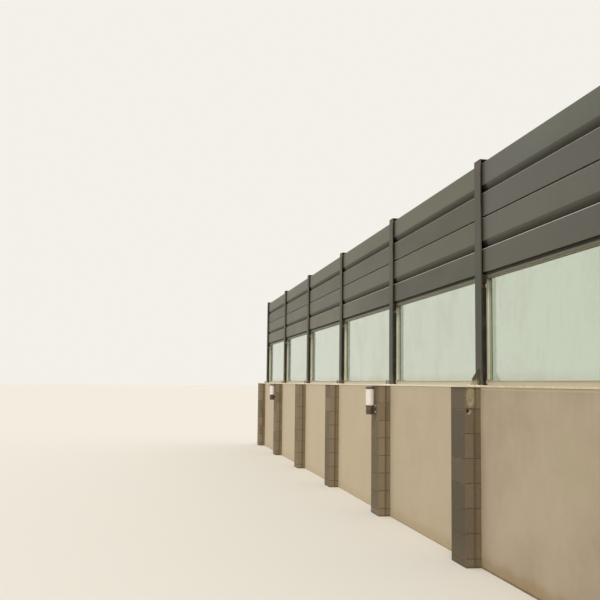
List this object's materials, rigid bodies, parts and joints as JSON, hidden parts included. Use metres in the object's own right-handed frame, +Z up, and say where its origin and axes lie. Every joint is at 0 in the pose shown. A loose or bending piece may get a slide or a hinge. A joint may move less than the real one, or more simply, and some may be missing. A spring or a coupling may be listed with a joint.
{
  "type": "noise barrier on a low boundary wall",
  "caption": "Roadside noise barrier in equal bays: tiled piers and rendered wall below, steel H posts, glazed frames and folded grey acoustic panels above, wall lamps on some piers.",
  "frame": {"origin": "on the ground, at mid length of the run and mid thickness of the wall", "axes": "+X along the run towards the near end of the picture, -Y towards the road and the lamps, +Z up"},
  "size_m": [18.4, 0.6689, 3.622],
  "materials": {
    "wall_render": "smooth painted render",
    "pier_tile": "matt brown-grey tile",
    "coping_mortar": "smooth pale mortar",
    "post_paint": "satin grey paint",
    "cassette_paint": "satin grey paint",
    "frame_aluminium": "pale cream powder coat",
    "pane_glass": "clear, slightly green",
    "lamp_metal": "satin dark brown paint",
    "lamp_opal": "opal white"
  },
  "bodies": {
    "root": {"wall_bay_1": "wall_render", "wall_bay_2": "wall_render", "wall_bay_3": "wall_render", "wall_bay_4": "wall_render", "wall_bay_5": "wall_render", "wall_bay_6": "wall_render", "pier_1": "pier_tile", "pier_2": "pier_tile", "pier_3": "pier_tile", "pier_4": "pier_tile", "pier_5": "pier_tile", "pier_6": "pier_tile", "pier_7": "pier_tile", "coping": "coping_mortar", "post_1": "post_paint", "post_2": "post_paint", "post_3": "post_paint", "post_4": "post_paint", "post_5": "post_paint", "post_6": "post_paint", "post_7": "post_paint", "post_caps": "post_paint", "glazing_frame_1": "frame_aluminium", "glazing_frame_2": "frame_aluminium", "glazing_frame_3": "frame_aluminium", "glazing_frame_4": "frame_aluminium", "glazing_frame_5": "frame_aluminium", "glazing_frame_6": "frame_aluminium", "glass_panes": "pane_glass", "acoustic_panel_lower_1": "cassette_paint", "acoustic_panel_lower_2": "cassette_paint", "acoustic_panel_lower_3": "cassette_paint", "acoustic_panel_lower_4": "cassette_paint", "acoustic_panel_lower_5": "cassette_paint", "acoustic_panel_lower_6": "cassette_paint", "acoustic_panel_upper_1": "cassette_paint", "acoustic_panel_upper_2": "cassette_paint", "acoustic_panel_upper_3": "cassette_paint", "acoustic_panel_upper_4": "cassette_paint", "acoustic_panel_upper_5": "cassette_paint", "acoustic_panel_upper_6": "cassette_paint", "lamp_brackets": "lamp_metal", "lamp_bases": "lamp_metal", "lamp_diffusers": "lamp_opal", "lamp_caps": "lamp_metal"}
  },
  "joints": []
}
